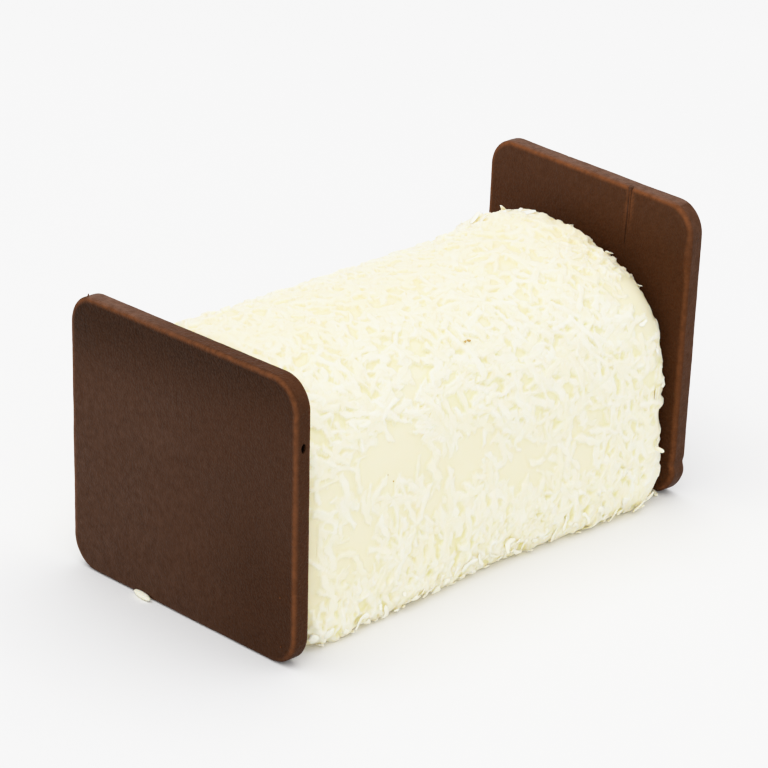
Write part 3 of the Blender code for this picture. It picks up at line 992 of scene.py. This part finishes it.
class Pile:
    """Shreds set in the glaze, as grids over the log's surface.

    The grids hold the pile's height, how far inside any shred each point lies, how far it is from the nearest
    edge that shows, and how white the uppermost shred is.
    """

    def __init__(self, seed):
        self.draw = np.random.default_rng(seed)
        self.height = np.zeros((len(STATIONS), len(GIRTHS)))
        self.cover = self.height - EDGE_LIMIT
        self.edge = self.height + EDGE_LIMIT
        self.tone = self.height.copy()

    def draw_shred(self, sizes):
        """A random place, and a length, width and rise within their ranges."""
        x, girth = self.draw.uniform(LOG_START, LOG_END), self.draw.uniform(0, GIRTH)
        return x, girth, [self.draw.uniform(*size) for size in sizes]

    def lay(self, x, girth, heading, length, width, rise):
        """Lays one bent and ragged shred on those already there."""
        draw = self.draw
        bend, slant = draw.uniform(-1, 1) * BEND, draw.uniform(-1, 1) * SLANT
        waviness, start, white = draw.uniform(*RAGGED_WAVES), draw.uniform(0, 2 * math.pi), draw.uniform()
        reach = length / 2 + width
        rows = slice(*np.searchsorted(STATIONS, (x - reach, x + reach)))
        columns = slice(*np.searchsorted(GIRTHS, (girth - reach, girth + reach)))
        away_x, away_girth = np.meshgrid(STATIONS[rows] - x, GIRTHS[columns] - girth, indexing="ij")
        along = away_x * math.cos(heading) + away_girth * math.sin(heading)
        across = away_girth * math.cos(heading) - away_x * math.sin(heading)
        share = 2 * along / length
        across = across - bend * (share ** 2 - BEND_MIDDLE)
        half_width = width / 2 * (1 + RAGGED * np.sin(share * waviness + start))
        inside = np.minimum(half_width - np.abs(across), length / 2 - np.abs(along + slant * across))
        shape = (inside / SOFT_EDGE + 0.5).clip(0, 1)
        shape = shape * shape * (3 - 2 * shape)
        here = (rows, columns)
        under = (self.height[here] * shape).sum() / max(shape.sum(), 1e-9)
        self.height[here] = np.maximum(self.height[here], shape * (rise + under * STACKING))
        self.cover[here] = np.maximum(self.cover[here], inside)
        self.edge[here] = np.where(inside > 0, inside, np.minimum(self.edge[here], -inside))
        self.tone[here] = np.where(inside > 0, white, self.tone[here])


def near_bare(x, girth):
    """1 in a bare patch of glaze and just round it, falling to 0 a little further out."""
    return min(1.0, NEAR_BARE_RISE * bareness(x, girth, NEAR_BARE))


def set_shreds():
    """The pile of random shreds and tufts, and the single shreds on the bare glaze."""
    pile = Pile(SET_SEED)
    draw = pile.draw
    for _ in range(SET_COUNT):
        x, girth, (length, width, rise) = pile.draw_shred(SET_SIZES)
        heading, keep = shred_heading(draw, girth), draw.uniform()
        if keep > bareness(x, girth) * BARE_CHANCE:
            pile.lay(x, girth, heading, length, width, rise * (1 - NEAR_BARE_SINK * near_bare(x, girth)))
    for _ in range(TUFTS_TRIED):
        x, girth, sizes = pile.draw_shred(TUFT_SIZES)
        heading, keep = draw.uniform(0, math.pi), draw.uniform()
        if bareness(x, girth) < keep < fluffiness(TUFT_SPOTS, x, girth):
            pile.lay(x, girth, heading, *sizes)
    for x, girth, heading, length, width in LONE_SHREDS:
        pile.lay(x, girth, math.radians(heading), length, width, LONE_RISE)
    return pile


def softened(grid, times):
    """The grid's values averaged with their neighbours."""
    for _ in range(times):
        for axis in (0, 1):
            size = grid.shape[axis]
            low = np.take(grid, np.arange(-1, size - 1).clip(0), axis)
            high = np.take(grid, np.arange(1, size + 1).clip(0, size - 1), axis)
            grid = (low + grid + high) / 3
    return grid


def coat_places(pile):
    """The places of the log's surface with the pile of shreds on it."""
    return SURFACE + FACING * pile.height[:, :, None]


def glazed_core(pile, material):
    """The glazed log as rings joined along X and closed by a flat end each way."""
    rings, count = len(STATIONS), len(GIRTHS)
    faces = ring_faces(rings, count)
    faces.append(tuple(range(count)))
    faces.append(tuple(range((rings - 1) * count, rings * count)))
    points = coat_places(pile)
    points[:, :, 2] = points[:, :, 2].clip(0)
    core = mesh_object("glazed_core", points.reshape(-1, 3), faces, material)
    face_outwards(core)
    lengths = {
        "cover": pile.cover,
        "edge": pile.edge.clip(0, EDGE_LIMIT),
        "hollow": softened(pile.height, HOLLOW_SOFTENING) - pile.height,
        "up_the_side": np.tile(np.minimum(GIRTHS, GIRTH - GIRTHS), rings),
    }
    for name, values in lengths.items():
        point_values(core, name, values.ravel() / MILLIMETRE)
    point_values(core, "tone", pile.tone.ravel())
    point_values(core, "bare", [near_bare(x, girth) for x in STATIONS for girth in GIRTHS])
    finish_piece(core, COCONUT_SLOT, "log")


# Loose coconut

SHEET_STEP = 0.001
COATED_FALL = 1.6


def unrolled_sheet(low, high):
    """The log's surface between two girths laid flat, as x, girth and height, marked with its coating."""
    xs = np.linspace(LOG_START, LOG_END, round((LOG_END - LOG_START) / SHEET_STEP))
    girths = np.linspace(low, high, round((high - low) / SHEET_STEP))
    points = [(x, girth, 0.0) for x in xs for girth in girths]
    count = len(girths)
    starts = [row * count + near for row in range(len(xs) - 1) for near in range(count - 1)]
    faces = [(start, start + count, start + count + 1, start + 1) for start in starts]
    sheet = mesh_object("unrolled_sheet", points, faces)
    bare = [bareness(x, girth) for x, girth, _ in points]
    point_values(sheet, "coated", [1.0 - min(share * COATED_FALL, 1.0) for share in bare])
    point_values(sheet, "fluffy", [fluffiness(FLUFFY_SPOTS, x, girth) for x, girth, _ in points])
    return sheet


# How narrow a shred is at its ends, how steeply it narrows to them, and how its width varies.
END_TAPER = 0.35
TAPER_POWER = 4.0
RAGGED_WIDTHS = (0.72, 1.18)
SHRED_SIDES = 6


def shred_group():
    """One curved, tapered strip along X, centred on the origin."""
    inputs = [(name, "Float", 0.0) for name in ("Length", "Width", "Thickness", "Bow", "Arch", "Twist")]
    inputs += [(name, "Int", 0) for name in ("Stations", "Seed")]
    tree = new_group("shred", "GeometryNodeTree", inputs, (("Shred", "Geometry"),))
    given = tree.given()
    half = tree.times(given["Length"], 0.5)
    ends = {"Start": tree.vector(X=tree.times(half, -1.0)), "End": tree.vector(X=half)}
    line = tree.result("GeometryNodeCurvePrimitiveLine", ends)
    line = tree.result("GeometryNodeResampleCurve", {"Curve": line, "Count": given["Stations"]})
    share = tree.add("GeometryNodeSplineParameter").outputs["Factor"]
    away = tree.maths("SUBTRACT", tree.times(share, 2.0), 1.0)
    square = tree.times(away, away)
    offset = tree.vector(Y=tree.times(square, given["Bow"]), Z=tree.times(square, given["Arch"]))
    line = tree.result("GeometryNodeSetPosition", {"Geometry": line, "Offset": offset})
    tilt = tree.times(away, given["Twist"])
    line = tree.result("GeometryNodeSetCurveTilt", {"Curve": line, "Tilt": tilt})
    sockets = {"Resolution": SHRED_SIDES, "Radius": 0.5}
    ring = tree.result("GeometryNodeCurvePrimitiveCircle", sockets, mode="RADIUS")
    flat = tree.vector(X=given["Width"], Y=given["Thickness"], Z=1.0)
    ring = tree.result("GeometryNodeTransform", {"Geometry": ring, "Scale": flat})
    steep = tree.maths("POWER", square, TAPER_POWER)
    taper = tree.maths("SUBTRACT", 1.0, tree.times(steep, END_TAPER))
    taper = tree.times(taper, tree.random(*RAGGED_WIDTHS, given["Seed"]))
    sockets = {"Curve": line, "Profile Curve": ring, "Scale": taper, "Fill Caps": True}
    tree.add("NodeGroupOutput", {"Shred": tree.result("GeometryNodeCurveToMesh", sockets)})
    return tree.tree


SHRED_KINDS = (
    # length, width, bow, arch, twist
    (0.0052, 0.00120, 0.00030, -0.00010, 0.15),
    (0.0042, 0.00135, -0.00025, 0.00012, -0.25),
    (0.0064, 0.00105, 0.00045, 0.00010, 0.30),
    (0.0032, 0.00115, 0.00010, -0.00005, -0.20),
    (0.0074, 0.00100, -0.00060, 0.00020, 0.35),
    (0.0048, 0.00150, 0.00005, 0.00008, 0.10),
    (0.0025, 0.00095, -0.00015, 0.00010, 0.30),
    (0.0058, 0.00085, 0.00035, 0.00015, -0.40),
)

# How much longer, wider and thicker than its kind a shred may be, and the most shreds to a square metre.
STRETCH = {"X": (0.75, 1.25), "Y": (0.75, 1.20), "Z": (0.8, 1.2)}
MOST_SHREDS = 500000.0


def kinds_of_shred(tree, shred, given):
    """One of each kind of shred, as instances to pick from."""
    kinds = tree.add("GeometryNodeJoinGeometry")
    for kind, (length, width, bow, arch, twist) in enumerate(SHRED_KINDS):
        sockets = {
            "Length": tree.times(given["Size"], length),
            "Width": width,
            "Thickness": given["Thickness"],
            "Bow": bow,
            "Arch": arch,
            "Twist": twist,
            "Stations": given["Stations"],
            "Seed": kind,
        }
        one = tree.result("GeometryNodeGroup", sockets, node_tree=shred)
        tree.feed(kinds, 0, tree.result("GeometryNodeGeometryToInstance", {"Geometry": one}))
    return kinds.outputs[0]


def scatter_group(shred):
    """Shreds spread over a surface, most of them where an attribute of it is highest."""
    inputs = (
        ("Surface", "Geometry", None),
        ("Thickest Where", "String", "coated"),
        *((name, "Float", 0.0) for name in ("Spacing", "Size", "Highest", "Tilt", "Heading")),
        ("Heading Spread", "Float", math.pi),
        ("Thickness", "Float", 0.00022),
        ("Stations", "Int", 6),
        ("Seed", "Int", 0),
        ("Material", "Material", None),
    )
    tree = new_group("scatter_shreds", "GeometryNodeTree", inputs, (("Shreds", "Geometry"),))
    given = tree.given()

    def draw(least, most, salt):
        return tree.random(least, most, tree.maths("ADD", given["Seed"], float(salt)))

    where = {"Name": given["Thickest Where"]}
    sockets = {
        "Mesh": given["Surface"],
        "Distance Min": given["Spacing"],
        "Density Max": MOST_SHREDS,
        "Density Factor": tree.result("GeometryNodeInputNamedAttribute", where, data_type="FLOAT"),
        "Seed": given["Seed"],
    }
    spots = tree.add("GeometryNodeDistributePointsOnFaces", sockets, distribute_method="POISSON")
    turn = tree.result("FunctionNodeAlignRotationToVector", {"Vector": spots.outputs["Normal"]}, axis="Z")
    least_tilt = tree.times(given["Tilt"], -1.0)
    leaning = tree.vector(X=draw(least_tilt, given["Tilt"], 1), Y=draw(least_tilt, given["Tilt"], 2))
    least = tree.maths("SUBTRACT", given["Heading"], given["Heading Spread"])
    most = tree.maths("ADD", given["Heading"], given["Heading Spread"])
    for angles in (tree.vector(Z=draw(least, most, 3)), leaning):
        by = tree.result("FunctionNodeEulerToRotation", {"Euler": angles})
        sockets = {"Rotation": turn, "Rotate By": by}
        turn = tree.result("FunctionNodeRotateRotation", sockets, rotation_space="LOCAL")
    stretch = {axis: draw(*limits, 4 + nth) for nth, (axis, limits) in enumerate(STRETCH.items())}
    sockets = {
        "Points": spots.outputs["Points"],
        "Instance": kinds_of_shred(tree, shred, given),
        "Pick Instance": True,
        "Instance Index": tree.random(0, len(SHRED_KINDS) - 1, given["Seed"], "INT"),
        "Rotation": turn,
        "Scale": tree.vector(**stretch),
    }
    laid = tree.result("GeometryNodeInstanceOnPoints", sockets)
    rise = tree.vector(Z=draw(0.0, given["Highest"], 7))
    laid = tree.result("GeometryNodeTranslateInstances", {"Instances": laid, "Translation": rise})
    sockets = {"Geometry": laid, "Name": "tone", "Value": draw(0.0, 1.0, 8)}
    laid = tree.result("GeometryNodeStoreNamedAttribute", sockets, data_type="FLOAT", domain="INSTANCE")
    for kind in ("GeometryNodeRealizeInstances", "GeometryNodeSetShadeSmooth"):
        laid = tree.result(kind, {"Geometry": laid})
    laid = tree.result("GeometryNodeSetMaterial", {"Geometry": laid, "Material": given["Material"]})
    tree.add("NodeGroupOutput", {"Shreds": laid})
    return tree.tree


def grown(name, host_mesh, group, values):
    """The plain mesh that a node group makes from a host mesh, with these values for its inputs."""
    host = add_object(name + "_host", host_mesh)
    modifier = host.modifiers.new("nodes", "NODES")
    modifier.node_group = group
    for socket in group.interface.items_tree:
        if socket.in_out == "INPUT" and socket.name in values:
            modifier[socket.identifier] = values[socket.name]
    evaluated = host.evaluated_get(bpy.context.evaluated_depsgraph_get())
    mesh = bpy.data.meshes.new_from_object(evaluated)
    mesh.name = name
    bpy.data.objects.remove(host)
    return add_object(name, mesh)


# How far the shreds stay off the plates and the floor, and from how far out they are eased away.
PLATE_CLEAR = 0.00012
FLOOR_CLEAR = 0.00005
SOFT_REACH = 0.0009


def ease(values, start, stop):
    """Leaves values below start alone, and eases those beyond it towards stop, which none reaches."""
    room = stop - start
    beyond = np.maximum(values - start, 0)
    return np.where(values > start, start + room * (1 - np.exp(-beyond / room)), values)


def press_in(thing):
    """Presses whatever would run into a plate or the floor flat against it."""
    x, y, z = places(thing.data).T
    front = -LENGTH / 2 + PLATE_THICK / math.cos(FRONT_LEAN) + z * math.tan(FRONT_LEAN) + PLATE_CLEAR
    back = BACK_INNER_X + (y - BACK_SHIFT_Y) * math.tan(-BACK_YAW) - PLATE_CLEAR
    x = -ease(-x, -(front + SOFT_REACH), -front)
    x = ease(x, back - SOFT_REACH, back)
    z = -ease(-z, -(FLOOR_CLEAR + SOFT_REACH), np.full(len(z), -FLOOR_CLEAR))
    set_places(thing.data, np.column_stack((x, y, z)))


# How the layers of loose coconut are scattered, and each one's name and girths.
STANDING_OUT = {
    "Spacing": 0.0017, "Size": 0.50, "Highest": 0.00035, "Tilt": 0.40, "Seed": 33,
    "Thickest Where": "fluffy",
}
CRUMBS = {
    "Spacing": 0.0014, "Size": 0.28, "Highest": 0.00030, "Tilt": 0.50, "Seed": 44,
    "Thickest Where": "fluffy", "Stations": 3,
}
HEM = {
    "Spacing": 0.0021, "Size": 0.36, "Highest": 0.00060, "Tilt": 0.38, "Seed": 55,
    "Thickness": 0.00030, "Heading": math.pi / 2, "Heading Spread": 1.20,
}
HEM_GIRTH = 0.0062
LAYERS = (
    ("coconut_standing_out", (0.0, GIRTH), STANDING_OUT),
    ("coconut_crumbs", (0.0, GIRTH), CRUMBS),
    ("coconut_hem_near", (0.0, HEM_GIRTH), HEM),
    ("coconut_hem_far", (GIRTH - HEM_GIRTH, GIRTH), HEM),
)


def loose_layers(pile, material):
    """Layers of shreds, scattered over the unrolled surface and then wrapped round the log."""
    scatter = scatter_group(shred_group())
    for name, girths, values in LAYERS:
        sheet = unrolled_sheet(*girths)
        coat = grown(name, sheet.data, scatter, {**values, "Material": material})
        bpy.data.objects.remove(sheet)
        set_places(coat.data, wrap_round_log(places(coat.data), pile))
        press_in(coat)
        finish_piece(coat, COCONUT_SLOT)


# Loose bits

# Each is (middle, radii, turn about Z and lean in degrees).
LOOSE_COCONUT = (
    ((-0.0503, 0.0093, 0.0005), (0.00070, 0.0025, 0.00045), -8, 0),
    ((0.0453, -0.0205, 0.0004), (0.0016, 0.00050, 0.00030), 62, 0),
    ((0.0400, -0.0257, 0.0120), (0.00040, 0.0012, 0.00045), 0, 0),
)
CHOCOLATE_CHIPS = (
    ((-0.0498, -0.0245, 0.0121), (0.00012, 0.00016, 0.00022), 0, 0),
    ((-0.0499, -0.0248, 0.0035), (0.00012, 0.00016, 0.00022), 0, 0),
    ((-0.0490, 0.0236, 0.0499), (0.00013, 0.00013, 0.00035), 0, 20),
    ((0.0462, -0.01055, 0.0544), (0.00012, 0.00014, 0.00085), 0, 0),
)
# These lie on the coat nearest to the middle given.
TOASTED_CRUMBS = (
    ((-0.0020, -0.0184, 0.0416), (0.00055, 0.00026, 0.00024), -35, 0),
    ((-0.0027, -0.0185, 0.0420), (0.00040, 0.00020, 0.00020), 40, 0),
    ((-0.0264, -0.0245, 0.0263), (0.00014, 0.00014, 0.00016), 0, 0),
    ((-0.0247, -0.0245, 0.0249), (0.00014, 0.00014, 0.00014), 0, 0),
)
CHIP_WEAR = 0.8


def bits_piece(name, bits, material, slot):
    """Small rounded bits as one piece."""
    body = bmesh.new()
    for middle, radii, turn, lean in bits:
        tilt = Euler((0, math.radians(lean), math.radians(turn))).to_matrix().to_4x4()
        bmesh.ops.create_icosphere(body, subdivisions=2, radius=1.0, matrix=placed(middle, tilt, radii))
    mesh = bpy.data.meshes.new(name)
    body.to_mesh(mesh)
    body.free()
    mesh.materials.append(material)
    mesh.shade_smooth()
    piece = add_object(name, mesh)
    finish_piece(piece, slot)
    return piece


def on_coat(pile, place):
    """The point of the coat nearest to a place."""
    coat = coat_places(pile).reshape(-1, 3)
    return coat[np.argmin(np.linalg.norm(coat - place, axis=1))]


def loose_bits(pile, chocolate, coconut):
    bits_piece("loose_coconut", LOOSE_COCONUT, coconut, COCONUT_SLOT)
    chips = bits_piece("chocolate_chips", CHOCOLATE_CHIPS, chocolate, CHOCOLATE_SLOT)
    point_values(chips, "rim", [CHIP_WEAR] * len(chips.data.vertices))
    toasted = [(on_coat(pile, middle), *rest) for middle, *rest in TOASTED_CRUMBS]
    bits_piece("toasted_crumbs", toasted, toasted_material(), COCONUT_SLOT)


# Stage

FLOOR_REACH = 4.0
FLOOR_DROP = 0.00002
FLOOR_GREYS = ((0.828, 0.828, 0.828, 1), (0.838, 0.838, 0.838, 1))
WORLD_WHITE = (1.0, 1.0, 1.0, 1.0)
WORLD_STRENGTH = 0.92

# The soft lights, as (name, place, aim, size, power).
LAMPS = (
    ("overhead", (0.0, 0.0, 1.5), (0, 0, 0), 2.0, 20.0),
    ("key", (-0.8, -1.0, 0.75), (0, 0, 0.02), 1.0, 4.0),
)

CAMERA_PLACE = (-0.35751, -0.36281, 0.23750)
CAMERA_YAW = 0.773216
CAMERA_PITCH = 0.390635
CAMERA_ROLL = 0.015561
CAMERA_LENS = 149.358
CAMERA_SENSOR = 36.0
CAMERA_CLIP = (0.01, 20.0)

# Brightness of the picture for light from 0 to TONE_WHITE: true up to the middle, then easing off.
TONE_WHITE = 2.0
TONES = (
    (0.10, 0.20), (0.25, 0.50), (0.35, 0.665), (0.45, 0.790),
    (0.52, 0.855), (0.57, 0.892), (0.64, 0.935), (0.75, 0.968),
)
LIGHT_BOUNCES = 12


def stage_material():
    material, tree, shader = new_material("pale_floor")
    clouds, _ = add_mottle(tree, blotch_size=0.08, grain_size=0.01)
    dress(tree, shader, tree.blend(clouds, *FLOOR_GREYS), roughness=0.8, specular=0.1)
    return material


def stage():
    sides = ((-1, -1), (1, -1), (1, 1), (-1, 1))
    corners = [(x * FLOOR_REACH, y * FLOOR_REACH, -FLOOR_DROP) for x, y in sides]
    floor = mesh_object("floor", corners, [(0, 1, 2, 3)], stage_material())


def lights():
    world = bpy.data.worlds.new("studio")
    world.use_nodes = True
    background = world.node_tree.nodes["Background"]
    background.inputs["Color"].default_value = WORLD_WHITE
    background.inputs["Strength"].default_value = WORLD_STRENGTH
    bpy.context.scene.world = world
    for name, place, aim, size, power in LAMPS:
        light = bpy.data.lights.new(name, "AREA")
        light.shape = "SQUARE"
        light.size = size
        light.energy = power
        lamp = add_object(name, light)
        lamp.location = place
        lamp.rotation_euler = (Vector(aim) - Vector(place)).to_track_quat("-Z", "Y").to_euler()


def camera():
    """A long lens that looks down at the log's near side and front plate."""
    data = bpy.data.cameras.new("camera")
    data.lens = CAMERA_LENS
    data.sensor_width = CAMERA_SENSOR
    data.clip_start, data.clip_end = CAMERA_CLIP
    view = add_object("camera", data)
    level = Euler((math.pi / 2 - CAMERA_PITCH, 0, -CAMERA_YAW)).to_matrix().to_4x4()
    view.matrix_world = Matrix.Translation(CAMERA_PLACE) @ level @ Matrix.Rotation(CAMERA_ROLL, 4, "Z")
    bpy.context.scene.camera = view


def many_bounces():
    """Light keeps bouncing between the pale shreds."""
    bpy.context.scene.cycles.diffuse_bounces = LIGHT_BOUNCES
    bpy.context.scene.cycles.max_bounces = LIGHT_BOUNCES


def picture_tones():
    view = bpy.context.scene.view_settings
    view.view_transform = "Standard"
    view.use_curve_mapping = True
    mapping = view.curve_mapping
    mapping.white_level = (TONE_WHITE,) * 3
    curve = mapping.curves[3]
    for light, shown in TONES:
        curve.points.new(light, shown)
    mapping.update()


def main():
    picture_tones()
    many_bounces()
    camera()
    lights()
    stage()
    chocolate = chocolate_material()
    front_plate(chocolate)
    back_plate(chocolate)
    pile = set_shreds()
    glazed_core(pile, glaze_material())
    coconut = coconut_material()
    loose_layers(softened(pile.height, PILE_SOFTENING), coconut)
    loose_bits(pile, chocolate, coconut)


main()
